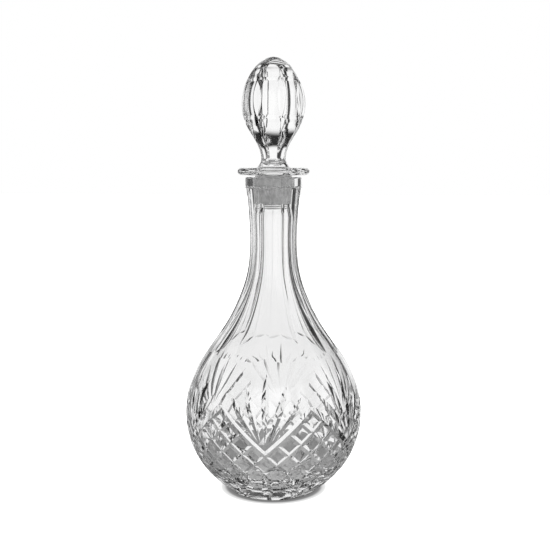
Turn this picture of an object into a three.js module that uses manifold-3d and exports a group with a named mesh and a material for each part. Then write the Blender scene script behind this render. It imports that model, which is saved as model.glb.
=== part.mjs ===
// A cut-glass wine decanter with its stopper and the plastic sleeve that seals it.
// Millimetres, +Z up. The origin is the centre of the foot, where the decanter stands.

import * as THREE from "three";
import { mergeVertices } from "three/addons/utils/BufferGeometryUtils.js";
import Module from "manifold-3d";

const wasm = await Module();
wasm.setup();

// ---------------------------------------------------------------- driving dimensions

const REPEATS = 6; // the cut pattern comes round six times
const COLUMNS = 48; // straight strips that make up each turned surface

const FOOT_RADIUS = 33;
const BULB_RADIUS = 65.3;
const BULB_CENTRE_Z = 58;
const BULB_TOP_Z = 84; // the round bulb runs into the shoulder here
const WALL = 5.2;
const FLOOR_THICKNESS = 12;

const COLLAR_RADIUS = 20.7;
const COLLAR_BOTTOM_Z = 225;
const RIM_Z = 232;
const RIM_ROUNDING = 1;

const BORE_RADIUS = 11.2;
const BORE_TOP_Z = 205;
const SEAT_RADIUS = 10.25; // the tapered seat where it opens at the rim
const SEAT_BOTTOM_RADIUS = 9.6;
const SEAT_BOTTOM_Z = 210;

const NECK_FLUTES = 12;
const FLUTE_TOP_Z = 223;
const FLUTE_CUSP_Z = 108; // a ridge between two flutes ends here
const FLUTE_DROP = 3.5; // a flute's round end reaches this far below the cusps
const FLUTE_DEPTH = 1;
const FLUTE_RUN_IN = 10; // height over which a flute reaches its depth

const VALLEY_Z = 43.5; // low points of the zigzag
const DIAMOND_HALF_HEIGHT = 7.9;
const PEAK_ROW = 4; // lattice rows are counted up and down from the valleys
const BOTTOM_ROW = -3;
const DIAMOND_DEPTH = 1.8;
const ZIGZAG_DEPTH = 2.2;

const FOOT_BAND_LEVELS = [5.5, 13]; // plain band between the foot and the lattice
const FOOT_CUT_BOTTOM_Z = 4;
const FOOT_CUT_TOP_Z = 17;
const FOOT_CUT_SPREAD = 5; // degrees from a valley's middle to the top of a slanting cut

const FAN_RAYS = 5;
const FAN_LEAN = 24; // degrees from the middle ray's tip to an outer ray's tip
const FAN_TIP_Z = 100; // tip of the middle ray
const FAN_TIP_FALL = 16.5; // the outer rays' tips are this much lower
const FAN_DEPTH = 1.5;

const FIT_GAP = 0.3; // clearance round the sleeve, inside and out
const SLEEVE_WALL = 1;
const SLEEVE_TOP_RADIUS = SEAT_RADIUS - FIT_GAP;
const SLEEVE_BOTTOM_RADIUS = SEAT_BOTTOM_RADIUS - FIT_GAP;
const SLEEVE_BOTTOM_Z = 211;
const LIP_RADIUS = 13.5;
const LIP_THICKNESS = 0.7;
const PLUG_BOTTOM_Z = 216.5;

const FLANGE_RADIUS = 26.2;
const FLANGE_BOTTOM_Z = RIM_Z + LIP_THICKNESS + 2 * FIT_GAP;
const FLANGE_THICKNESS = 5.3;
const FINIAL_FLUTES = 8;
const FINIAL_FLUTE_DEPTH = 1.8;
const FINIAL_TURN = -3; // degrees that the stopper is turned by where it rests
const FINIAL_BOTTOM_Z = 256;
const TOP_Z = 317.5;

// ---------------------------------------------------------------- shared helpers

const RAD = Math.PI / 180;
const point = (radius, z) => new THREE.Vector2(radius, z);

/** Points of a smooth curve through the given ones. */
function smooth(points, divisions) {
  return new THREE.SplineCurve(points).getPoints(divisions);
}

/** The radius at height z along an outline that rises. */
function radiusAt(outline, z) {
  const upper = outline.findIndex((p) => p.y >= z);
  if (upper < 1) {
    return upper === 0 ? outline[0].x : outline[outline.length - 1].x;
  }
  const low = outline[upper - 1];
  const high = outline[upper];
  return THREE.MathUtils.mapLinear(z, low.y, high.y, low.x, high.x);
}

/**
 * Turns an outline about Z. reshape(angle, z, radius) gives a vertex its new radius and height, and
 * flip(column, row) is true where the quad's dividing edge runs the other way.
 */
function turned(outline, reshape, flip) {
  const lathe = new THREE.LatheGeometry(outline, COLUMNS);
  lathe.rotateX(Math.PI / 2);
  const position = lathe.attributes.position;
  const rows = outline.length;
  for (let i = 0; i < position.count; i += 1) {
    const angle = (Math.floor(i / rows) % COLUMNS) * (360 / COLUMNS);
    const start = outline[i % rows];
    const end = reshape ? reshape(angle, start.y, start.x) : start;
    position.setXYZ(i, end.x * Math.sin(angle * RAD), -end.x * Math.cos(angle * RAD), end.y);
  }
  const index = [];
  for (let column = 0; column < COLUMNS; column += 1) {
    for (let row = 0; row < rows - 1; row += 1) {
      const a = column * rows + row;
      const b = a + rows;
      const quad = flip && flip(column, outline[row], outline[row + 1])
        ? [a, b, a + 1, b, b + 1, a + 1]
        : [a, b, b + 1, a, b + 1, a + 1];
      index.push(...quad);
    }
  }
  lathe.setIndex(index);
  return closed(lathe);
}

/** The same surface with shared vertices and no slivers at the axis. */
function closed(geometry) {
  const bare = new THREE.BufferGeometry();
  bare.setAttribute("position", geometry.attributes.position);
  bare.setIndex(geometry.index);
  const merged = mergeVertices(bare, 1e-3);
  const kept = [];
  const index = merged.index.array;
  for (let i = 0; i < index.length; i += 3) {
    const [a, b, c] = index.slice(i, i + 3);
    if (a !== b && b !== c && c !== a) {
      kept.push(a, b, c);
    }
  }
  merged.setIndex(kept);
  return merged;
}

function toSolid(geometry) {
  return new wasm.Manifold(new wasm.Mesh({
    numProp: 3,
    vertProperties: new Float32Array(geometry.attributes.position.array),
    triVerts: new Uint32Array(geometry.index.array),
  }));
}

function toGeometry(solid) {
  const mesh = solid.getMesh();
  const geometry = new THREE.BufferGeometry();
  geometry.setAttribute("position", new THREE.BufferAttribute(mesh.vertProperties, 3));
  geometry.setIndex(new THREE.BufferAttribute(mesh.triVerts, 1));
  return geometry;
}

// ---------------------------------------------------------------- the glass vessel

/** Outline of the outside, foot to rim, before any cutting. Its rows follow the diamond lattice. */
function outerOutline() {
  const outline = [point(0, 0), point(FOOT_RADIUS, 0)];
  const arcRadius = (z) => Math.sqrt(BULB_RADIUS ** 2 - (z - BULB_CENTRE_Z) ** 2);
  const levels = FOOT_BAND_LEVELS.slice();
  for (let row = BOTTOM_ROW; row <= PEAK_ROW; row += 1) {
    levels.push(VALLEY_Z + row * DIAMOND_HALF_HEIGHT);
  }
  outline.push(...levels.map((z) => point(arcRadius(z), z)));
  const shoulder = smooth([
    point(arcRadius(BULB_TOP_Z), BULB_TOP_Z),
    point(55.2, 94),
    point(46.2, 108),
    point(33.9, 126),
    point(24, 147),
    point(18.7, 166),
    point(17.2, 184),
    point(17.9, 203),
    point(19.5, FLUTE_TOP_Z),
  ], 15);
  outline.push(...shoulder);
  outline.push(point(COLLAR_RADIUS, COLLAR_BOTTOM_Z));
  outline.push(point(COLLAR_RADIUS, RIM_Z - RIM_ROUNDING));
  outline.push(point(COLLAR_RADIUS - RIM_ROUNDING, RIM_Z));
  return outline;
}

/** Outline of the hollow, rim to floor. */
function innerOutline() {
  return [
    point(SEAT_RADIUS + 0.5, RIM_Z),
    point(SEAT_RADIUS, RIM_Z - 0.5),
    point(SEAT_BOTTOM_RADIUS, SEAT_BOTTOM_Z),
    point(BORE_RADIUS, BORE_TOP_Z),
    ...smooth([
      point(BORE_RADIUS, 176),
      point(14.2, 157),
      point(26.5, 130),
      point(43.5, 104),
      point(BULB_RADIUS - WALL - 3.5, 80),
      point(BULB_RADIUS - WALL, BULB_CENTRE_Z),
      point(BULB_RADIUS - WALL - 4.5, 35),
      point(42, 18),
      point(20, FLOOR_THICKNESS + 0.6),
    ], 13),
    point(0, FLOOR_THICKNESS),
  ];
}

/** How far along a flute an angle is: 0 on its centre line, 1 on the ridge beside it. */
function acrossFlute(angle, flutes) {
  const pitch = 360 / flutes;
  const phase = THREE.MathUtils.euclideanModulo(angle, pitch) / pitch;
  return Math.abs(2 * phase - 1);
}

/** Depth of the neck's hollow flutes, with their round ends on the shoulder. */
function fluteDepth(angle, z) {
  const across = acrossFlute(angle, NECK_FLUTES);
  const end = FLUTE_CUSP_Z - FLUTE_DROP * (1 - across ** 2);
  if (z < end || z > FLUTE_TOP_Z) {
    return 0;
  }
  const runIn = Math.min(1, (z - end) / FLUTE_RUN_IN);
  return (FLUTE_DEPTH + 0.6) * (1 - across ** 2) * runIn;
}

/** Lattice coordinate of an angle: 0 in a valley's middle, 4 at the peaks on either side of it. */
function latticeColumn(angle) {
  const sector = 360 / REPEATS;
  const fromValley = THREE.MathUtils.euclideanModulo(angle + sector / 2, sector) - sector / 2;
  return Math.abs(fromValley) / (sector / 8);
}

/** Depth of the zigzag and of the lattice of pointed diamonds below it. */
function latticeDepth(angle, z) {
  const column = Math.round(latticeColumn(angle));
  const row = Math.round((z - VALLEY_Z) / DIAMOND_HALF_HEIGHT);
  const onRow = Math.abs(z - VALLEY_Z - row * DIAMOND_HALF_HEIGHT) < 0.1;
  if (!onRow || row > column || row < BOTTOM_ROW) {
    return 0;
  }
  if (row === column) {
    return ZIGZAG_DEPTH;
  }
  return (row + column) % 2 === 0 ? DIAMOND_DEPTH : 0;
}

/** A mitre cut: a V groove along a line on the bulb, deepest in its middle and fading out at both ends. */
function mitre(outline, from, to, depth) {
  const STEPS = 4;
  const LIFT = 0.6; // the cutter's open side stands this far off the glass
  const FADE = 0.35; // at its ends the cutter's edge is this far off the glass
  const WIDENING = 1.4; // half width of the groove for each millimetre of depth
  const place = (t) => {
    const angle = THREE.MathUtils.lerp(from.angle, to.angle, t) * RAD;
    const z = THREE.MathUtils.lerp(from.z, to.z, t);
    const r = radiusAt(outline, z);
    return new THREE.Vector3(r * Math.sin(angle), -r * Math.cos(angle), z);
  };
  const positions = [];
  for (let i = 0; i <= STEPS; i += 1) {
    const t = i / STEPS;
    const here = place(t);
    const along = place(t + 0.01).sub(place(t - 0.01)).normalize();
    const slope = (radiusAt(outline, here.z + 1) - radiusAt(outline, here.z - 1)) / 2;
    const outward = new THREE.Vector3(here.x, here.y, 0).normalize();
    outward.z = -slope;
    outward.normalize();
    const side = new THREE.Vector3().crossVectors(outward, along).normalize();
    const bite = (depth + FADE) * (1 - (2 * t - 1) ** 2) - FADE;
    const halfWidth = WIDENING * (bite + LIFT);
    const edge = here.clone().addScaledVector(outward, -bite);
    const left = here.clone().addScaledVector(outward, LIFT).addScaledVector(side, halfWidth);
    const right = here.clone().addScaledVector(outward, LIFT).addScaledVector(side, -halfWidth);
    positions.push(...edge.toArray(), ...left.toArray(), ...right.toArray());
  }
  const index = [0, 2, 1];
  for (let i = 0; i < STEPS; i += 1) {
    for (let k = 0; k < 3; k += 1) {
      const a = 3 * i + k;
      const b = 3 * i + (k + 1) % 3;
      index.push(a, b, b + 3, a, b + 3, a + 3);
    }
  }
  const last = 3 * STEPS;
  index.push(last, last + 1, last + 2);
  const geometry = new THREE.BufferGeometry();
  geometry.setAttribute("position", new THREE.Float32BufferAttribute(positions, 3));
  geometry.setIndex(index);
  return geometry;
}

/** Every mitre cut on the bulb: the fans over the valleys and the leaf cuts round the foot. */
function mitreCuts(outline) {
  const cuts = [];
  const sector = 360 / REPEATS;
  for (let repeat = 0; repeat < REPEATS; repeat += 1) {
    const middle = repeat * sector;
    for (let ray = 0; ray < FAN_RAYS; ray += 1) {
      const place = (2 * ray) / (FAN_RAYS - 1) - 1;
      const lean = FAN_LEAN * Math.sign(place) * Math.abs(place) ** 0.75;
      const tip = { angle: middle + lean, z: FAN_TIP_Z - FAN_TIP_FALL * Math.abs(place) };
      const root = { angle: middle + lean * 0.12, z: VALLEY_Z + 5 + 3 * Math.abs(place) };
      cuts.push(mitre(outline, root, tip, FAN_DEPTH));
    }
    const footCut = (topAngle, bottomAngle) => mitre(
      outline,
      { angle: middle + topAngle, z: FOOT_CUT_TOP_Z },
      { angle: middle + bottomAngle, z: FOOT_CUT_BOTTOM_Z },
      FAN_DEPTH,
    );
    cuts.push(footCut(0, 0));
    cuts.push(footCut(FOOT_CUT_SPREAD, sector * 0.47));
    cuts.push(footCut(-FOOT_CUT_SPREAD, -sector * 0.47));
  }
  return cuts;
}

function decanterBody() {
  const outer = outerOutline();
  const reshape = (angle, z, radius) => {
    const outside = radius > radiusAt(outer, z) - 0.01 && radius > SEAT_RADIUS + 2;
    const depth = outside ? Math.max(fluteDepth(angle, z), latticeDepth(angle, z)) : 0;
    return point(radius - depth, z);
  };
  const flip = (column, low, high) => {
    const row = Math.round((low.y - VALLEY_Z) / DIAMOND_HALF_HEIGHT);
    const onLattice = high.y > low.y && row < PEAK_ROW;
    return onLattice && THREE.MathUtils.euclideanModulo(row + column, 2) === 1;
  };
  let solid = toSolid(turned([...outer, ...innerOutline()], reshape, flip));
  const grooves = mitreCuts(outer.slice(1)).map(toSolid);
  solid = wasm.Manifold.difference([solid, ...grooves]);
  return toGeometry(solid);
}

// ---------------------------------------------------------------- the sleeve and the stopper

/** Outer radius of the tapered sleeve at height z. */
function sleeveRadius(z) {
  return THREE.MathUtils.mapLinear(z, SLEEVE_BOTTOM_Z, RIM_Z, SLEEVE_BOTTOM_RADIUS, SLEEVE_TOP_RADIUS);
}

/** A thimble of translucent plastic with a thin lip that lies on the rim. */
function sealSleeve() {
  const lipBottom = RIM_Z + FIT_GAP;
  const lipTop = lipBottom + LIP_THICKNESS;
  const floorTop = SLEEVE_BOTTOM_Z + SLEEVE_WALL;
  return turned([
    point(0, SLEEVE_BOTTOM_Z),
    point(SLEEVE_BOTTOM_RADIUS - 1, SLEEVE_BOTTOM_Z),
    point(SLEEVE_BOTTOM_RADIUS - 0.3, SLEEVE_BOTTOM_Z + 0.3),
    point(sleeveRadius(SLEEVE_BOTTOM_Z + 1), SLEEVE_BOTTOM_Z + 1),
    point(sleeveRadius(RIM_Z - 0.6), RIM_Z - 0.6),
    point(SLEEVE_TOP_RADIUS + 0.5, lipBottom),
    point(LIP_RADIUS, lipBottom),
    point(LIP_RADIUS, lipTop),
    point(sleeveRadius(lipTop) - SLEEVE_WALL, lipTop),
    point(sleeveRadius(floorTop) - SLEEVE_WALL, floorTop),
    point(0, floorTop),
  ]);
}

/** One piece of glass: a plug, a flat round flange, a waisted stem and a fluted egg. */
function stopper() {
  const plugRadius = (z) => sleeveRadius(z) - SLEEVE_WALL - FIT_GAP;
  const flangeTop = FLANGE_BOTTOM_Z + FLANGE_THICKNESS;
  const stemAndEgg = smooth([
    point(10.6, flangeTop + 0.6),
    point(9.1, flangeTop + 5),
    point(9.6, 249),
    point(12.4, FINIAL_BOTTOM_Z + 0.5),
    point(18.4, 266),
    point(22.4, 276),
    point(23.1, 285),
    point(19.6, 300),
    point(13.4, 310),
    point(6, TOP_Z - 1.4),
  ], 17);
  const outline = [
    point(0, PLUG_BOTTOM_Z),
    point(plugRadius(PLUG_BOTTOM_Z) - 0.8, PLUG_BOTTOM_Z),
    point(plugRadius(PLUG_BOTTOM_Z + 0.8), PLUG_BOTTOM_Z + 0.8),
    point(plugRadius(FLANGE_BOTTOM_Z), FLANGE_BOTTOM_Z),
    point(FLANGE_RADIUS - 3, FLANGE_BOTTOM_Z),
    point(FLANGE_RADIUS - 0.8, FLANGE_BOTTOM_Z + 1),
    point(FLANGE_RADIUS, FLANGE_BOTTOM_Z + FLANGE_THICKNESS / 2),
    point(FLANGE_RADIUS - 0.8, flangeTop - 1),
    point(FLANGE_RADIUS - 3, flangeTop),
    point(11.8, flangeTop),
    ...stemAndEgg,
    point(0, TOP_Z),
  ];
  const halfPitch = 180 / FINIAL_FLUTES;
  const flute = (angle, z, radius) => {
    if (z < FINIAL_BOTTOM_Z) {
      return point(radius, z);
    }
    const rise = (z - FINIAL_BOTTOM_Z) / (TOP_Z - FINIAL_BOTTOM_Z);
    const across = acrossFlute(angle + halfPitch, FINIAL_FLUTES);
    const depth = FINIAL_FLUTE_DEPTH * Math.sin(Math.PI * rise) * (1 - across ** 2);
    return point(Math.max(0, radius - depth), z);
  };
  return turned(outline, flute);
}

// ---------------------------------------------------------------- the assembly

const glass = () => new THREE.MeshStandardMaterial({
  color: 0xf4f6f7,
  roughness: 0.03,
  metalness: 0,
  transparent: true,
  opacity: 0.35,
});

const frostedPlastic = () => new THREE.MeshStandardMaterial({
  color: 0xa4a6a8,
  roughness: 0.45,
  metalness: 0,
  transparent: true,
  opacity: 0.8,
});

function piece(name, geometry, material) {
  const mesh = new THREE.Mesh(geometry, material);
  mesh.name = name;
  return mesh;
}

const group = new THREE.Group();
group.add(piece("decanter_body", decanterBody(), glass()));
group.add(piece("seal_sleeve", sealSleeve(), frostedPlastic()));
const turnedStopper = piece("stopper", stopper(), glass());
turnedStopper.rotation.z = FINIAL_TURN * RAD;
group.add(turnedStopper);

export default group;
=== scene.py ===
"""A cut-glass wine decanter with a fluted stopper, on a pale studio floor.

Each of the three CAD pieces is replaced by a finer mesh in the same place. The glass is turned from a
smooth outline and then cut, as a glass cutter does it, by wheels that leave hollow flutes and V grooves
(mitres). Outlines and cuts are worked out in millimetres, and new_object turns them into metres.
"""

import math

import bmesh
import bpy
import numpy as np
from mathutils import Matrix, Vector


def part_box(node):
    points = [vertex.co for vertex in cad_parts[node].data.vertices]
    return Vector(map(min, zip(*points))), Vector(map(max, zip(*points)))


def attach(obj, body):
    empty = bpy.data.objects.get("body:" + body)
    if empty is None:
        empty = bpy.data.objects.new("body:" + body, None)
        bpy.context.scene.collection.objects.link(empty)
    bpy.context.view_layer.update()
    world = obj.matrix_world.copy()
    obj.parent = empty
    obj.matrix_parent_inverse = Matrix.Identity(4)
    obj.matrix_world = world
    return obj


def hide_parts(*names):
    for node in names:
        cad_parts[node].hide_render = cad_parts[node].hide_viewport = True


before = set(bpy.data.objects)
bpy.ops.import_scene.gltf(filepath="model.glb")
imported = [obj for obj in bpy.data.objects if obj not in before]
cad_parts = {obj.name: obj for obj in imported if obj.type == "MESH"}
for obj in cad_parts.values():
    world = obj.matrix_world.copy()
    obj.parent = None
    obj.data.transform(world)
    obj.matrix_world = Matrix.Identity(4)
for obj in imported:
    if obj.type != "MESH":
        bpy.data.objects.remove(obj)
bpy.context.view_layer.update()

MM = 0.001  # metres in a millimetre
SLEEVE_END_RISE = 1.2  # the rounded end of the sleeve lies this far above its CAD end

# ---------------------------------------------------------------- sizes taken from the frame, mm


def node_box(name):
    """Lowest and highest corners of a CAD node, in millimetres."""
    low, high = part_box(name)
    return np.array(low) / MM, np.array(high) / MM


body_high = node_box("decanter_body")[1]
sleeve_low, sleeve_high = node_box("seal_sleeve")
stopper_low, stopper_high = node_box("stopper")

RIM_Z = body_high[2]
TOP_Z = stopper_high[2]
PLUG_BOTTOM_Z = stopper_low[2]
SLEEVE_BOTTOM_Z = sleeve_low[2] + SLEEVE_END_RISE
LIP_TOP_Z = sleeve_high[2]
LIP_RADIUS = sleeve_high[0]
FLANGE_RADIUS = stopper_high[0]

# ---------------------------------------------------------------- driving dimensions, mm and degrees

REPEATS = 6  # the cut pattern comes round six times
SECTOR = 360 / REPEATS

FOOT_RADIUS = 33
FOOT_EDGE = 1.2  # rounding
BULB_RADIUS = 65.3
BULB_CENTRE_Z = 58
BALL_END_Z = 60  # the outline is a ball below this height and a curve through the shoulder above it
FLOOR_THICKNESS = 12

COLLAR_RADIUS = 20.7
COLLAR_BOTTOM_Z = RIM_Z - 7
COLLAR_EDGE = 0.8  # rounding of its lower edge
RIM_EDGE = 1.3  # rounding
MOUTH_EDGE = 1.0  # rounding

NECK_FLUTES = 12
FLUTE_TOP_Z = COLLAR_BOTTOM_Z - 0.6
FLUTE_CUSP_Z = 108  # ridges between flutes end here, at the tips of the scallops
FLUTE_DROP = 3.5  # the scallops' round ends reach this far below the cusps
BLANK_GROWTH = 1.2  # above the cusps the uncut neck is this much wider than the flutes' ridges
BLANK_GROWTH_SLOPE = 0.25

VALLEY_Z = 42.3  # low points of the zigzag
DIAMOND_HALF_HEIGHT = 7.9
ROWS_TO_PEAK = 4
PEAK_Z = VALLEY_Z + ROWS_TO_PEAK * DIAMOND_HALF_HEIGHT

NECK_HOLLOW = 0.05  # flute depth as a share of the neck's radius
SCALLOP_DEPTH = 1.1
FLUTE_DEEPENING = 0.055  # a flute's depth grows by this for each mm above the cusps
ZIGZAG_DEPTH = 1.4
ZIGZAG_HALF_WIDTH = 3.2
LATTICE_DEPTH = 1.0
LATTICE_HALF_WIDTH = 2.4
LATTICE_BOTTOM_Z = 21.5
FAN_DEPTH = 1.4
FAN_HALF_WIDTH = 2.6
FAN_LEAD = 1.4  # puts the widest part of a ray nearer to its tip
FAN_ROOT_Z = VALLEY_Z + 4.5
FAN_ROOT_STEP = 1.5  # the next ray outwards starts this much higher
FAN_ROOT_SPREAD = 0.08  # share of a ray's lean at its root
FAN_TIPS = [(0, 100), (14.5, 92), (24, 83.5)]  # lean and height of the tips, from the middle outwards
FOOT_CUT_DEPTH = 1.9
FOOT_CUT_HALF_WIDTH = 4.2
FOOT_CUTS = {  # angle from a valley's middle and height, at the low and the high end of each cut
    "olive": ((0, 0.5), (0, 23)),
    "right": ((SECTOR / 2 + 1, 0.5), (6.5, 25)),
    "left": ((-SECTOR / 2 - 1, 0.5), (-6.5, 25)),
    "kite": ((SECTOR / 2, 3), (SECTOR / 2, 28)),
}
MITRE_LIFT = 0.7  # a cutting wheel's block stands this far out of the glass
RUN_OUT = 0.25  # and its edge rises this far out of the glass at the ends of a groove

SEAT_TOP_RADIUS = 9.95
SEAT_BOTTOM_RADIUS = 9.3
SEAT_BOTTOM_Z = SLEEVE_BOTTOM_Z - 0.4
SLEEVE_PRESS = 0.06  # how far the soft sleeve is pressed into its seat
# The hollow's outline, as radii at heights, then as points from its wall to the axis
HOLLOW_Z = [20, 30, 40, 50, 58, 66, 76, 86, 96, 106, 116, 126, 138, 150, 164, 180, 198, 205, 211]
HOLLOW_R = [
    44.0, 53.8, 58.0, 59.8, 60.1, 59.7, 57.5, 53.9, 49.0, 42.7,
    35.9, 29.3, 22.0, 16.4, 12.6, 11.3, 11.3, 11.1, 9.3,
]
HOLLOW_FLOOR = [(53, 27), (50, 23), (45.4, 19), (39, 15.8), (31, 13.7), (21, 12.6), (10, 12.1)]

PLUG_GAP_LOW = 1.0  # room for the sleeve between plug and seat, at the plug's lower end
PLUG_GAP_HIGH = 1.2
FLANGE_BOTTOM_Z = LIP_TOP_Z + 0.3
FLANGE_THICKNESS = 5.3
FLANGE_TOP_Z = FLANGE_BOTTOM_Z + FLANGE_THICKNESS
FLANGE_ROUNDING = 3.6  # width of its rounded edge
EGG_BOTTOM_Z = 241.8
EGG_TOP_Z = 315  # the finial's round cap starts here
EGG_Z = [240, 243.5, 248, 252, 256, 260, 265, 270, 276, 283, 290, 297, 303, 308, 312, 315]
EGG_R = [10.4, 9.15, 9.4, 10.5, 12.3, 14.7, 17.9, 20.5, 22.4, 23.2, 22.7, 20.9, 18.2, 15.1, 11.5, 7.7]
FINIAL_FLUTES = 8
FINIAL_TURN = -3.0  # angle of one flute's centre line
FINIAL_FLUTE_LOW_Z = 241
FINIAL_FLUTE_TOP_Z = 312.5
FINIAL_WHEEL = 40  # radius of the hollow of a flute, across
FINIAL_RISE = 5  # height over which a flute deepens at its lower end
FINIAL_CLOSE = 4  # and at its upper end
CAP_RADIUS = 11.2
SLIP_Z = 287.5  # middle of the slips
SLIP_HALF_HEIGHT = 14.5
SLIP_HALF_WIDTH = 2.7
SLIP_WALL = 0.9  # width of a slip's steep side
SLIP_STEEPNESS = 1.6

COLUMNS = 240  # columns of faces round the glass
GLASS_CREASE = 9  # edges of the glass that turn by more than this stay sharp
PLASTIC_CREASE = 25

# ---------------------------------------------------------------- the studio's sizes, metres and degrees

CAMERA_AZIMUTH = 5.3
CAMERA_DISTANCE = 0.680
CAMERA_HEIGHT = 0.243
CAMERA_TILT = 6.95
LENS = 60.9
CAMERA_SHIFT = 0.0027

TABLE_RADIUS = 0.17
# The table's grey levels are painted shade: the sheet glows grey round the foot rather than being lit
TABLE_PAINTED_SHADE = [(0.0, 0.35), (0.1, 0.24)]  # distance from the axis, and grey level
# Painted contact shadow in the floor paper's colour: distance from the axis in decimetres, and grey level
PAINTED_CONTACT_SHADOW = [(0.30, 0.05), (0.345, 0.12), (0.38, 0.4), (0.42, 0.8), (0.45, 0.95)]
SLEEVE_GREYS = [(0.3, 0.14), (0.7, 0.2)]  # value of the noise, and grey level

# Panels of light and dark as (position, level).
# Position is the square of the sine of the angle off the Y axis: 0.5 is 45 degrees, 1 is the side
PANELS = [
    (0.22, 1.0), (0.28, 0.01), (0.41, 0.01), (0.45, 0.9),
    (0.61, 0.9), (0.66, 0.01), (0.88, 0.01), (0.94, 0.9),
]
DARK_CORNER = [(0.38, 1.0), (0.42, 0.02)]  # half the sine of twice that angle, on one diagonal only
ELEVATION = [(0.16, 0.04), (0.26, 1.0), (0.73, 1.0), (0.82, 0.03)]  # 0 is straight down, 1 is up

SUN_SPREAD = 150
SUN_STRENGTH = 5.5

# ---------------------------------------------------------------- outlines


def cubic(knots_z, knots_r, z):
    """Radius at heights z on the natural cubic spline through the knots."""
    x = np.asarray(knots_z, float)
    y = np.asarray(knots_r, float)
    n = len(x)
    h = np.diff(x)
    system = np.eye(n)
    right = np.zeros(n)
    for i in range(1, n - 1):
        system[i, i - 1 : i + 2] = h[i - 1], 2 * (h[i - 1] + h[i]), h[i]
        right[i] = 6 * ((y[i + 1] - y[i]) / h[i] - (y[i] - y[i - 1]) / h[i - 1])
    bend = np.linalg.solve(system, right)
    z = np.asarray(z, float)
    i = np.clip(np.searchsorted(x, z) - 1, 0, n - 2)
    a = (x[i + 1] - z) / h[i]
    b = (z - x[i]) / h[i]
    curve = (a**3 - a) * bend[i] + (b**3 - b) * bend[i + 1]
    return a * y[i] + b * y[i + 1] + curve * h[i] ** 2 / 6


def on_bulb(z):
    """Radius of the bulb's ball at height z."""
    return math.sqrt(BULB_RADIUS**2 - (z - BULB_CENTRE_Z) ** 2)


SHOULDER_Z = [52, 60, 68, 76, 84, 94, 104, 114, 124, 134, 144, 154, 164, 174, 186, 198, 210, 225]
SHOULDER_R = [on_bulb(z) for z in SHOULDER_Z[:5]] + [
    55.3, 49.0, 41.9, 35.2, 29.7, 25.2, 21.5, 19.0, 17.75, 17.2, 17.65, 18.4, 20.0,
]


def blank_radius(z):
    """Radius of the body at height z: a ball below, the ridges of the fluted neck above."""
    z = np.asarray(z, float)
    ball = np.sqrt(np.maximum(BULB_RADIUS**2 - (z - BULB_CENTRE_Z) ** 2, 0))
    return np.where(z < BALL_END_Z, ball, cubic(SHOULDER_Z, SHOULDER_R, np.maximum(z, BALL_END_Z)))


def arc(centre, radius, start, end, steps):
    """Points on an arc in the outline's plane, with angles in degrees from +radius towards +z."""
    angles = np.radians(np.linspace(start, end, steps + 1))
    return [(centre[0] + radius * math.cos(a), centre[1] + radius * math.sin(a)) for a in angles]


# ---------------------------------------------------------------- mesh helpers


def new_object(name, vertices, faces):
    """A mesh object from coordinates in millimetres."""
    mesh = bpy.data.meshes.new(name)
    mesh.from_pydata((np.asarray(vertices, float) * MM).tolist(), [], faces)
    mesh.update()
    obj = bpy.data.objects.new(name, mesh)
    bpy.context.scene.collection.objects.link(obj)
    return obj


def turned(name, outline, columns):
    """Turns an outline, from axis to axis, about Z into one closed mesh."""
    outline = np.asarray(outline, float)
    angles = np.radians(np.arange(columns) * 360 / columns)
    inner = outline[1:-1]
    rows = len(inner)
    x = inner[:, 0][:, None] * np.sin(angles)
    y = -inner[:, 0][:, None] * np.cos(angles)
    z = np.repeat(inner[:, 1][:, None], columns, axis=1)
    vertices = np.stack([x, y, z], axis=-1).reshape(-1, 3).tolist()
    first = len(vertices)
    vertices += [[0, 0, outline[0, 1]], [0, 0, outline[-1, 1]]]
    faces = []
    for column in range(columns):
        following = (column + 1) % columns
        faces.append((first, following, column))
        for row in range(rows - 1):
            a = row * columns
            b = a + columns
            faces.append((a + column, a + following, b + following, b + column))
        top = (rows - 1) * columns
        faces.append((first + 1, top + column, top + following))
    return new_object(name, vertices, faces)


def slab(inner, outer):
    """Vertices and faces of the closed block between two grids of points, both rows x columns x 3."""
    rows, columns, _ = inner.shape
    vertices = np.concatenate([inner.reshape(-1, 3), outer.reshape(-1, 3)])
    offset = rows * columns
    faces = []
    for r in range(rows - 1):
        for c in range(columns - 1):
            a = r * columns + c
            d = a + columns
            faces.append((a, a + 1, d + 1, d))
            faces.append((offset + a, offset + d, offset + d + 1, offset + a + 1))
    rim = list(range(columns))
    rim += [r * columns + columns - 1 for r in range(1, rows)]
    rim += [(rows - 1) * columns + c for c in range(columns - 2, -1, -1)]
    rim += [r * columns for r in range(rows - 2, 0, -1)]
    for a, b in zip(rim, rim[1:] + rim[:1]):
        faces.append((b, a, offset + a, offset + b))
    return vertices, faces


def cut(target, blocks):
    """Takes a set of blocks that don't touch each other out of a solid."""
    vertices = []
    faces = []
    for block_vertices, block_faces in blocks:
        start = len(vertices)
        vertices += block_vertices.tolist()
        faces += [tuple(start + i for i in face) for face in block_faces]
    tool = new_object("cutting_wheel", vertices, faces)
    fix = bmesh.new()
    fix.from_mesh(tool.data)
    bmesh.ops.recalc_face_normals(fix, faces=fix.faces)
    fix.to_mesh(tool.data)
    fix.free()
    modifier = target.modifiers.new("cut", "BOOLEAN")
    modifier.operation = "DIFFERENCE"
    modifier.solver = "MANIFOLD"
    modifier.object = tool
    bpy.context.view_layer.update()
    evaluated = target.evaluated_get(bpy.context.evaluated_depsgraph_get())
    result = bpy.data.meshes.new_from_object(evaluated)
    target.modifiers.remove(modifier)
    old = target.data
    target.data = result
    bpy.data.meshes.remove(old)
    bpy.data.objects.remove(tool)


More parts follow.
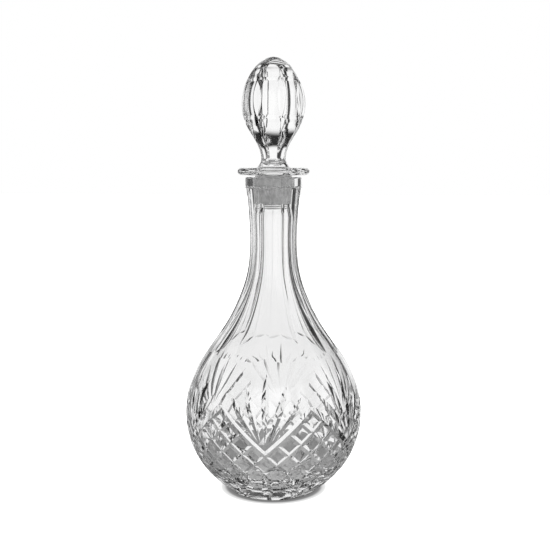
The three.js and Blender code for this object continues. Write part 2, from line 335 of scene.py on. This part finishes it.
def smooth_with_creases(obj, angle):
    """Smooth shading, split along edges that turn by more than the angle in degrees."""
    mesh = obj.data
    tidy = bmesh.new()
    tidy.from_mesh(mesh)
    bmesh.ops.remove_doubles(tidy, verts=tidy.verts, dist=2e-6)
    bmesh.ops.dissolve_degenerate(tidy, edges=tidy.edges, dist=1e-6)
    bmesh.ops.triangulate(tidy, faces=tidy.faces)
    tidy.to_mesh(mesh)
    tidy.free()
    mesh.shade_smooth()
    mesh.set_sharp_from_angle(angle=math.radians(angle))


# ---------------------------------------------------------------- the cutting wheels


def body_point(angle, z):
    """Point on the uncut bulb and its outward normal."""
    a = math.radians(angle)
    r = float(blank_radius(z))
    slope = float(blank_radius(z + 0.2) - blank_radius(z - 0.2)) / 0.4
    around = np.array([math.sin(a), -math.cos(a), 0.0])
    normal = around - np.array([0, 0, slope])
    return around * r + np.array([0, 0, z]), normal / np.linalg.norm(normal)


def mitre(start, end, depth, half_width, steps):
    """A V groove of a given Depth between two (angle, z) points, with its half width in millimetres."""

    def place(t):
        return body_point(start[0] + (end[0] - start[0]) * t, start[1] + (end[1] - start[1]) * t)

    inner = []
    outer = []
    steepness = depth.deepest / half_width
    for t in np.linspace(0, 1, steps + 1):
        point, normal = place(t)
        along = place(min(t + 0.01, 1.0))[0] - place(max(t - 0.01, 0.0))[0]
        side = np.cross(normal, along)
        side /= np.linalg.norm(side)
        bite = depth(t)
        reach = (bite + MITRE_LIFT) / steepness
        row = [-1.0, 0.0, 1.0]
        inner.append([point + side * u * reach + normal * (MITRE_LIFT if u else -bite) for u in row])
        outer.append([point + side * u * reach + normal * (MITRE_LIFT + 1) for u in row])
    return slab(np.array(inner), np.array(outer))


class Depth:
    """Depth along a groove, with ends that run out of the glass over part of its length.

    A lead above 1 moves the deepest place towards the groove's end.
    """

    def __init__(self, deepest, run_in=0.15, run_out=0.15, lead=1.0):
        self.deepest = deepest
        self.run_in = run_in
        self.run_out = run_out
        self.lead = lead

    def __call__(self, t):
        t = t**self.lead
        rise = 1.0
        if t < self.run_in:
            rise = 1 - (1 - t / self.run_in) ** 2
        if t > 1 - self.run_out:
            rise = 1 - (1 - (1 - t) / self.run_out) ** 2
        return (self.deepest + RUN_OUT) * rise - RUN_OUT


def zigzag_slope():
    """Rise of the zigzag in millimetres for each degree."""
    return (PEAK_Z - VALLEY_Z) / (SECTOR / 2)


def zigzag_arms(hand):
    """The arms of the zigzag that rise to the right (hand 1) or to the left (hand -1)."""
    blocks = []
    overshoot = 2.0
    for repeat in range(REPEATS):
        middle = repeat * SECTOR
        low = (middle - hand * overshoot, VALLEY_Z - overshoot * zigzag_slope())
        high = (middle + hand * (SECTOR / 2 + overshoot), PEAK_Z + overshoot * zigzag_slope())
        blocks.append(mitre(low, high, Depth(ZIGZAG_DEPTH, 0.1, 0.1), ZIGZAG_HALF_WIDTH, 36))
    return blocks


def lattice_lines(hand):
    """Grooves below the zigzag, parallel to its arms, that leave the diamonds between them."""
    blocks = []
    slope = zigzag_slope()
    for repeat in range(REPEATS):
        middle = repeat * SECTOR
        for line in range(1, ROWS_TO_PEAK + 1):
            at_middle = VALLEY_Z - 2 * line * DIAMOND_HALF_HEIGHT
            start = (LATTICE_BOTTOM_Z - at_middle) / slope
            end = (PEAK_Z + slope * SECTOR / 2 - at_middle) / (2 * slope)
            if line == ROWS_TO_PEAK:
                end = SECTOR - 0.5  # just short of the next valley, so that it touches no other groove
            low = (middle + hand * start, LATTICE_BOTTOM_Z)
            high = (middle + hand * end, at_middle + slope * end)
            blocks.append(mitre(low, high, Depth(LATTICE_DEPTH, 0.12, 0.02), LATTICE_HALF_WIDTH, 36))
    return blocks


def fan_rays(chosen):
    """Lens-shaped rays that rise from each valley."""
    blocks = []
    for repeat in range(REPEATS):
        middle = repeat * SECTOR
        for ray in chosen:
            lean, tip_z = FAN_TIPS[abs(ray)]
            lean = math.copysign(lean, ray)
            root = (middle + lean * FAN_ROOT_SPREAD, FAN_ROOT_Z + abs(ray) * FAN_ROOT_STEP)
            tip = (middle + lean, tip_z)
            blocks.append(mitre(root, tip, Depth(FAN_DEPTH, 0.5, 0.5, FAN_LEAD), FAN_HALF_WIDTH, 30))
    return blocks


def foot_cuts(kind):
    """Leaf-shaped cuts in the band between the lattice and the foot."""
    (low_turn, low_z), (high_turn, high_z) = FOOT_CUTS[kind]
    blocks = []
    for repeat in range(REPEATS):
        middle = repeat * SECTOR
        start = (middle + low_turn, low_z)
        end = (middle + high_turn, high_z)
        blocks.append(mitre(start, end, Depth(FOOT_CUT_DEPTH, 0.5, 0.5), FOOT_CUT_HALF_WIDTH, 22))
    return blocks


def polar_flute(middle, pitch, heights, radius_at, outside_at, columns_at):
    """A flute cut by a wide wheel: radius_at(t, z) with t = -1 and 1 on the ridges beside it."""
    inner = []
    outer = []
    for z in heights:
        near = []
        far = []
        for t in columns_at(z):
            a = math.radians(middle + t * pitch / 2)
            direction = np.array([math.sin(a), -math.cos(a), 0.0])
            near.append(direction * radius_at(t, z) + np.array([0, 0, z]))
            far.append(direction * outside_at(z) + np.array([0, 0, z]))
        inner.append(near)
        outer.append(far)
    return slab(np.array(inner), np.array(outer))


def neck_flutes(chosen):
    """Hollow flutes of the neck. Their lower ends run out of the shoulder as scallops."""

    def depth_at(z):
        ridge = float(blank_radius(z))
        return min(NECK_HOLLOW * ridge, SCALLOP_DEPTH + FLUTE_DEEPENING * max(z - FLUTE_CUSP_Z, 0))

    def ridge_radius(z):
        rise = max(FLUTE_CUSP_Z - z, 0) * SCALLOP_DEPTH / FLUTE_DROP
        return float(blank_radius(z)) + rise

    def radius_at(t, z):
        return ridge_radius(z) - depth_at(z) * (1 - t * t)

    def outside_at(z):
        return ridge_radius(z) + 7

    def columns_at(z):
        return np.linspace(-1.3, 1.3, 17)

    low = FLUTE_CUSP_Z - FLUTE_DROP - 3
    heights = np.concatenate([np.linspace(low, 116, 16), np.linspace(118.5, FLUTE_TOP_Z, 48)])
    pitch = 360 / NECK_FLUTES
    middles = [(flute + 0.5) * pitch for flute in range(NECK_FLUTES) if flute % 2 == chosen]
    return [polar_flute(m, pitch, heights, radius_at, outside_at, columns_at) for m in middles]


# ---------------------------------------------------------------- the decanter's body


def seat_radius(z):
    """Radius of the tapered seat in the neck."""
    return float(np.interp(z, [SEAT_BOTTOM_Z, RIM_Z], [SEAT_BOTTOM_RADIUS, SEAT_TOP_RADIUS]))


def body_outline():
    """Foot, bulb, shoulder and collar outside, then the seat, bore and hollow inside."""
    outside = [(0, 0), (10, 0), (20, 0)]
    outside += arc((FOOT_RADIUS - FOOT_EDGE, FOOT_EDGE), FOOT_EDGE, -90, -20, 4)
    lower = np.concatenate([np.linspace(3, 24, 14), np.linspace(26, FLUTE_CUSP_Z, 48)])
    outside += [(float(blank_radius(z)), z) for z in lower]
    for z in np.linspace(FLUTE_CUSP_Z + 1, COLLAR_BOTTOM_Z - COLLAR_EDGE, 60):
        growth = min((z - FLUTE_CUSP_Z) * BLANK_GROWTH_SLOPE, BLANK_GROWTH)
        outside.append((float(blank_radius(z)) + growth, z))
    outside += arc((COLLAR_RADIUS - COLLAR_EDGE, COLLAR_BOTTOM_Z + COLLAR_EDGE), COLLAR_EDGE, -70, 0, 4)
    outside += [(COLLAR_RADIUS, (COLLAR_BOTTOM_Z + RIM_Z) / 2)]
    outside += arc((COLLAR_RADIUS - RIM_EDGE, RIM_Z - RIM_EDGE), RIM_EDGE, 0, 90, 6)
    inside = arc((SEAT_TOP_RADIUS + MOUTH_EDGE, RIM_Z - MOUTH_EDGE), MOUTH_EDGE, 90, 180, 5)
    seat_z = np.linspace(RIM_Z - 3, SEAT_BOTTOM_Z, 6)
    inside += [(seat_radius(z), z) for z in seat_z]
    heights = np.concatenate([np.linspace(SEAT_BOTTOM_Z - 1.5, 120, 34), np.linspace(117, 30, 30)])
    inside += [(float(cubic(HOLLOW_Z, HOLLOW_R, z)), z) for z in heights]
    return outside + inside + HOLLOW_FLOOR + [(0, FLOOR_THICKNESS)]


def decanter_body():
    body = turned("cut_glass_body", body_outline(), COLUMNS)
    for chosen in (0, 1):
        cut(body, neck_flutes(chosen))
    for hand in (1, -1):
        cut(body, zigzag_arms(hand))
        cut(body, lattice_lines(hand))
    for chosen in ((-2, 0, 2), (-1, 1)):
        cut(body, fan_rays(chosen))
    for kind in ("olive", "right", "left", "kite"):
        cut(body, foot_cuts(kind))
    smooth_with_creases(body, GLASS_CREASE)
    return body


# ---------------------------------------------------------------- the stopper and its sleeve


def smoothstep(t):
    """Eased step from 0 to 1 while t goes from 0 to 1."""
    t = min(max(t, 0.0), 1.0)
    return t * t * (3 - 2 * t)


def egg_radius(z):
    """Radius of the uncut finial and stem."""
    return float(cubic(EGG_Z, EGG_R, z))


def plug_radius(z):
    """Radius of the plug, a little less than the seat's."""
    ends = [SEAT_BOTTOM_RADIUS - PLUG_GAP_LOW, SEAT_TOP_RADIUS - PLUG_GAP_HIGH]
    return float(np.interp(z, [PLUG_BOTTOM_Z, RIM_Z], ends))


def stopper_outline():
    """Plug, flange, stem and egg, from the bottom up."""
    outline = [(0, PLUG_BOTTOM_Z)]
    outline += arc((plug_radius(PLUG_BOTTOM_Z) - 1, PLUG_BOTTOM_Z + 1), 1, -90, 0, 4)
    outline += [(plug_radius(z), z) for z in np.linspace(PLUG_BOTTOM_Z + 3, FLANGE_BOTTOM_Z - 0.6, 7)]
    outline += [(plug_radius(FLANGE_BOTTOM_Z) + 0.5, FLANGE_BOTTOM_Z)]
    outline += [(14, FLANGE_BOTTOM_Z), (18, FLANGE_BOTTOM_Z)]
    for a in np.radians(np.linspace(-90, 90, 17)):
        bulge = np.sign(math.cos(a)) * abs(math.cos(a)) ** 0.8
        r = FLANGE_RADIUS + FLANGE_ROUNDING * (bulge - 1)
        outline.append((r, FLANGE_BOTTOM_Z + FLANGE_THICKNESS * (1 + math.sin(a)) / 2))
    outline += [(18, FLANGE_TOP_Z), (13.4, FLANGE_TOP_Z)]
    outline += arc((13.2, FLANGE_TOP_Z + 2.4), 2.4, -100, -150, 4)
    outline += [(egg_radius(z), z) for z in np.linspace(EGG_BOTTOM_Z, EGG_TOP_Z - 0.6, 70)]
    top = arc((0, TOP_Z - CAP_RADIUS), CAP_RADIUS, 42, 90, 9)
    outline += [(r, z) for r, z in top if z > EGG_TOP_Z - 0.2 and r > 0.2]
    return outline + [(0, TOP_Z)]


def finial_flutes(chosen):
    """Flutes of the egg. Between them, round its waist, steep-sided slips of the round egg are left."""

    def base_at(z):
        """Radius of the uncut egg, and never less than a thin rod's."""
        cap = max(CAP_RADIUS**2 - (z - TOP_Z + CAP_RADIUS) ** 2, 0) ** 0.5
        return max(egg_radius(z) if z < EGG_TOP_Z else cap, 3.0)

    def ridge_at(z):
        """Distance round the egg from a flute's middle to the ridge beside it."""
        return math.pi / FINIAL_FLUTES * base_at(z)

    def slip_at(z):
        """Half width of a slip."""
        return SLIP_HALF_WIDTH * max(1 - ((z - SLIP_Z) / SLIP_HALF_HEIGHT) ** 2, 0)

    def climb(across, z):
        """Rise of the flute's surface above its middle."""
        wall_start = ridge_at(z) - slip_at(z) - SLIP_WALL
        steep = SLIP_STEEPNESS * min(slip_at(z) / SLIP_WALL, 1)
        fall = 0.5 / base_at(z) + 0.5 / FINIAL_WHEEL
        return across**2 * fall + steep * max(across - wall_start, 0)

    def radius_at(t, z):
        deepest = climb(ridge_at(z) - slip_at(z), z)
        rise = smoothstep((z - FINIAL_FLUTE_LOW_Z) / FINIAL_RISE)
        close = smoothstep((FINIAL_FLUTE_TOP_Z - z) / FINIAL_CLOSE)
        depth = (deepest + 0.3) * min(rise, close) - 0.3
        return base_at(z) - depth + climb(abs(t) * ridge_at(z), z)

    def outside_at(z):
        return radius_at(0, z) + 14

    def columns_at(z):
        edge = 1 - slip_at(z) / ridge_at(z)
        wall = edge - SLIP_WALL / ridge_at(z)
        half = [wall * share for share in (0.25, 0.5, 0.75, 1.0)] + [edge, edge * 1.15, edge * 1.3]
        return [-t for t in reversed(half)] + [0.0] + half

    heights = np.linspace(FINIAL_FLUTE_LOW_Z - 1, FINIAL_FLUTE_TOP_Z, 90)
    pitch = 360 / FINIAL_FLUTES
    middles = [FINIAL_TURN + f * pitch for f in range(FINIAL_FLUTES) if f % 2 == chosen]
    return [polar_flute(m, pitch, heights, radius_at, outside_at, columns_at) for m in middles]


def stopper():
    solid = turned("glass_stopper", stopper_outline(), COLUMNS)
    for chosen in (0, 1):
        cut(solid, finial_flutes(chosen))
    smooth_with_creases(solid, GLASS_CREASE)
    return solid


def sleeve():
    """Thimble of soft plastic between the plug and the seat, pressed against the neck's glass."""
    outside = [(0, SLEEVE_BOTTOM_Z)]
    outside += arc((SEAT_BOTTOM_RADIUS - 1.0, SLEEVE_BOTTOM_Z + 1.0), 1.0 + SLEEVE_PRESS, -90, 0, 6)
    for z in np.linspace(SLEEVE_BOTTOM_Z + 3, RIM_Z - 1.6, 10):
        outside.append((seat_radius(z) + SLEEVE_PRESS, z))
    outside += [(SEAT_TOP_RADIUS + 0.3, RIM_Z - 0.3), (SEAT_TOP_RADIUS + 1.2, RIM_Z + 0.08)]
    outside += arc((LIP_RADIUS - 0.4, RIM_Z + 0.5), 0.4, -90, 90, 6)
    inside = [(SEAT_TOP_RADIUS, LIP_TOP_Z - 0.1)]
    inside += [(plug_radius(z) + 0.1, z) for z in np.linspace(RIM_Z, PLUG_BOTTOM_Z - 3, 10)]
    floor_z = SLEEVE_BOTTOM_Z + 1
    inside += [(plug_radius(floor_z) - 1, floor_z + 0.3), (plug_radius(floor_z) - 2, floor_z)]
    thimble = turned("seal_thimble", outside + inside + [(0, floor_z)], COLUMNS // 2)
    smooth_with_creases(thimble, PLASTIC_CREASE)
    return thimble


# ---------------------------------------------------------------- materials


def principled(name):
    """A new material with its node tree and its Principled shader."""
    material = bpy.data.materials.new(name)
    material.use_nodes = True
    tree = material.node_tree
    return material, tree, tree.nodes["Principled BSDF"]


def ripple(tree, shader, scale, strength, distance):
    """Faint procedural unevenness of a surface, in object space. Gives back its noise node."""
    place = tree.nodes.new("ShaderNodeTexCoord")
    noise = tree.nodes.new("ShaderNodeTexNoise")
    bump = tree.nodes.new("ShaderNodeBump")
    noise.inputs["Scale"].default_value = scale
    noise.inputs["Detail"].default_value = 2
    bump.inputs["Strength"].default_value = strength
    bump.inputs["Distance"].default_value = distance
    tree.links.new(place.outputs["Object"], noise.inputs["Vector"])
    tree.links.new(noise.outputs["Fac"], bump.inputs["Height"])
    tree.links.new(bump.outputs["Normal"], shader.inputs["Normal"])
    return noise


def crystal(name):
    material, tree, shader = principled(name)
    shader.inputs["Base Color"].default_value = (0.99, 0.99, 0.99, 1)
    shader.inputs["Roughness"].default_value = 0.0
    shader.inputs["IOR"].default_value = 1.52
    shader.inputs["Transmission Weight"].default_value = 1.0
    ripple(tree, shader, 60, 0.15, 0.0002)
    return material


def soft_plastic(name):
    material, tree, shader = principled(name)
    shader.inputs["Roughness"].default_value = 0.5
    shader.inputs["IOR"].default_value = 1.5
    noise = ripple(tree, shader, 300, 0.2, 0.0002)
    tree.links.new(ramp(tree, noise.outputs["Fac"], SLEEVE_GREYS), shader.inputs["Base Color"])
    return material


# ---------------------------------------------------------------- the studio


def camera():
    data = bpy.data.cameras.new("camera")
    data.lens = LENS
    data.sensor_width = 36
    data.shift_x = CAMERA_SHIFT
    obj = bpy.data.objects.new("camera", data)
    a = math.radians(CAMERA_AZIMUTH)
    obj.location = (math.sin(a) * CAMERA_DISTANCE, -math.cos(a) * CAMERA_DISTANCE, CAMERA_HEIGHT)
    obj.rotation_euler = (math.radians(90 - CAMERA_TILT), 0, a)
    bpy.context.scene.collection.objects.link(obj)
    bpy.context.scene.camera = obj


def maths(tree, operation, a, b=0.0):
    """Output of a Math node on sockets or numbers."""
    node = tree.nodes.new("ShaderNodeMath")
    node.operation = operation
    for socket, value in zip(node.inputs, (a, b)):
        if isinstance(value, (int, float)):
            socket.default_value = value
        else:
            tree.links.new(value, socket)
    return node.outputs[0]


def ramp(tree, value, stops):
    """Grey level read off a smooth curve through (position, level) stops."""
    node = tree.nodes.new("ShaderNodeValToRGB")
    tree.links.new(value, node.inputs["Fac"])
    elements = node.color_ramp.elements
    elements.remove(elements[1])
    elements[0].position = stops[0][0]
    elements[0].color = (stops[0][1], stops[0][1], stops[0][1], 1)
    for position, level in stops[1:]:
        elements.new(position).color = (level, level, level, 1)
    node.color_ramp.interpolation = "EASE"
    return node.outputs["Color"]


def coordinates(tree, kind):
    """X, Y and Z of one kind of texture coordinate."""
    place = tree.nodes.new("ShaderNodeTexCoord")
    split = tree.nodes.new("ShaderNodeSeparateXYZ")
    tree.links.new(place.outputs[kind], split.inputs["Vector"])
    return split.outputs["X"], split.outputs["Y"], split.outputs["Z"]


def flat_stage(name, size, height, material):
    """A square sheet that belongs to the studio."""
    mesh = bpy.data.meshes.new(name)
    corners = [(-size, -size, 0), (size, -size, 0), (size, size, 0), (-size, size, 0)]
    mesh.from_pydata(corners, [], [(0, 1, 2, 3)])
    obj = bpy.data.objects.new(name, mesh)
    obj.location.z = height
    bpy.context.scene.collection.objects.link(obj)
    mesh.materials.append(material)
    return obj


def distance_from_axis(tree):
    """Distance from the decanter's axis, in metres."""
    x, y, _ = coordinates(tree, "Object")
    xx = maths(tree, "MULTIPLY", x, x)
    yy = maths(tree, "MULTIPLY", y, y)
    return maths(tree, "SQRT", maths(tree, "ADD", xx, yy))


def floor_paper():
    """White paper, with a soft contact shadow painted into its colour round the foot."""
    material, tree, shader = principled("floor_paper")
    shader.inputs["Roughness"].default_value = 0.9
    shader.inputs["Specular IOR Level"].default_value = 0.0
    away = maths(tree, "MULTIPLY", distance_from_axis(tree), 10)
    # Painted shadow: the paper's colour darkens towards the foot
    shade = ramp(tree, away, PAINTED_CONTACT_SHADOW)
    tree.links.new(shade, shader.inputs["Base Color"])
    return material


def painted_shade_table():
    """The table as the glass sees it: a glowing sheet with painted shade, grey near the foot, and clear
    beyond its soft edge.
    """
    material, tree, shader = principled("painted_shade_table")
    tree.nodes.remove(shader)
    output = tree.nodes["Material Output"]
    painted_shade_glow = tree.nodes.new("ShaderNodeEmission")
    clear = tree.nodes.new("ShaderNodeBsdfTransparent")
    blend = tree.nodes.new("ShaderNodeMixShader")
    away = distance_from_axis(tree)
    # Painted shade: the sheet glows grey round the foot instead of being lit
    tree.links.new(ramp(tree, away, TABLE_PAINTED_SHADE), painted_shade_glow.inputs["Color"])
    tree.links.new(ramp(tree, away, [(TABLE_RADIUS * 0.65, 0.0), (TABLE_RADIUS, 1.0)]), blend.inputs["Fac"])
    tree.links.new(painted_shade_glow.outputs["Emission"], blend.inputs[1])
    tree.links.new(clear.outputs["BSDF"], blend.inputs[2])
    tree.links.new(blend.outputs["Shader"], output.inputs["Surface"])
    return material


def studio_floor():
    """Two sheets: white paper with a painted contact shadow, which only the camera sees, and a glowing
    table with painted shade, which shows in the glass.
    """
    paper = flat_stage("studio_floor", 6.0, -0.0002, floor_paper())
    paper.visible_transmission = False
    paper.visible_glossy = False
    table = flat_stage("painted_shade_table", TABLE_RADIUS, -0.0001, painted_shade_table())
    table.visible_camera = False
    table.visible_diffuse = False
    table.visible_shadow = False


def studio_world():
    """Bright panels before, behind, at the sides and on one diagonal, with dark gaps between them.

    The glass sees them. The camera itself sees plain white.
    """
    world = bpy.data.worlds.new("studio")
    bpy.context.scene.world = world
    world.use_nodes = True
    tree = world.node_tree
    tree.nodes.clear()
    output = tree.nodes.new("ShaderNodeOutputWorld")
    background = tree.nodes.new("ShaderNodeBackground")
    tree.links.new(background.outputs["Background"], output.inputs["Surface"])
    x, y, z = coordinates(tree, "Generated")
    xx = maths(tree, "MULTIPLY", x, x)
    yy = maths(tree, "MULTIPLY", y, y)
    square = maths(tree, "MAXIMUM", maths(tree, "ADD", xx, yy), 1e-6)
    across = maths(tree, "DIVIDE", xx, square)
    around = ramp(tree, across, PANELS)
    height = maths(tree, "ADD", maths(tree, "MULTIPLY", z, 0.5), 0.5)
    up = ramp(tree, height, ELEVATION)
    diagonal = maths(tree, "DIVIDE", maths(tree, "MULTIPLY", x, y), square)
    corner = ramp(tree, diagonal, DARK_CORNER)
    lit = maths(tree, "MULTIPLY", maths(tree, "MULTIPLY", around, up), corner)
    seen = tree.nodes.new("ShaderNodeLightPath").outputs["Is Camera Ray"]
    level = maths(tree, "MAXIMUM", lit, seen)
    tree.links.new(level, background.inputs["Color"])


def floor_light():
    """A broad soft light from above. It lights the floor and isn't seen in the glass."""
    data = bpy.data.lights.new("soft_light", "SUN")
    data.angle = math.radians(SUN_SPREAD)
    data.energy = SUN_STRENGTH
    lamp = bpy.data.objects.new("soft_light", data)
    lamp.visible_glossy = False
    lamp.visible_transmission = False
    bpy.context.scene.collection.objects.link(lamp)


# ---------------------------------------------------------------- putting it together

camera()
studio_world()
studio_floor()
floor_light()

scene = bpy.context.scene
scene.view_settings.view_transform = "Standard"
scene.cycles.max_bounces = 24
scene.cycles.transmission_bounces = 24
scene.cycles.glossy_bounces = 12
scene.cycles.caustics_reflective = False
scene.cycles.caustics_refractive = False

PIECES = [
    (decanter_body, crystal("crystal_body"), "decanter", "decanter_body", "body_glass"),
    (stopper, crystal("crystal_stopper"), "stopper", "stopper", "stopper_glass"),
    (sleeve, soft_plastic("soft_plastic"), "seal", "seal_sleeve", "sleeve_plastic"),
]
for make, material, body, node, slot in PIECES:
    piece = make()
    piece.data.materials.clear()
    piece.data.materials.append(material)
    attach(piece, body)
    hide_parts(node)
    # The shadow under the foot is painted into the paper's colour, so the pieces cast none of their own
    # there
    piece.visible_shadow = False
    piece.visible_diffuse = False
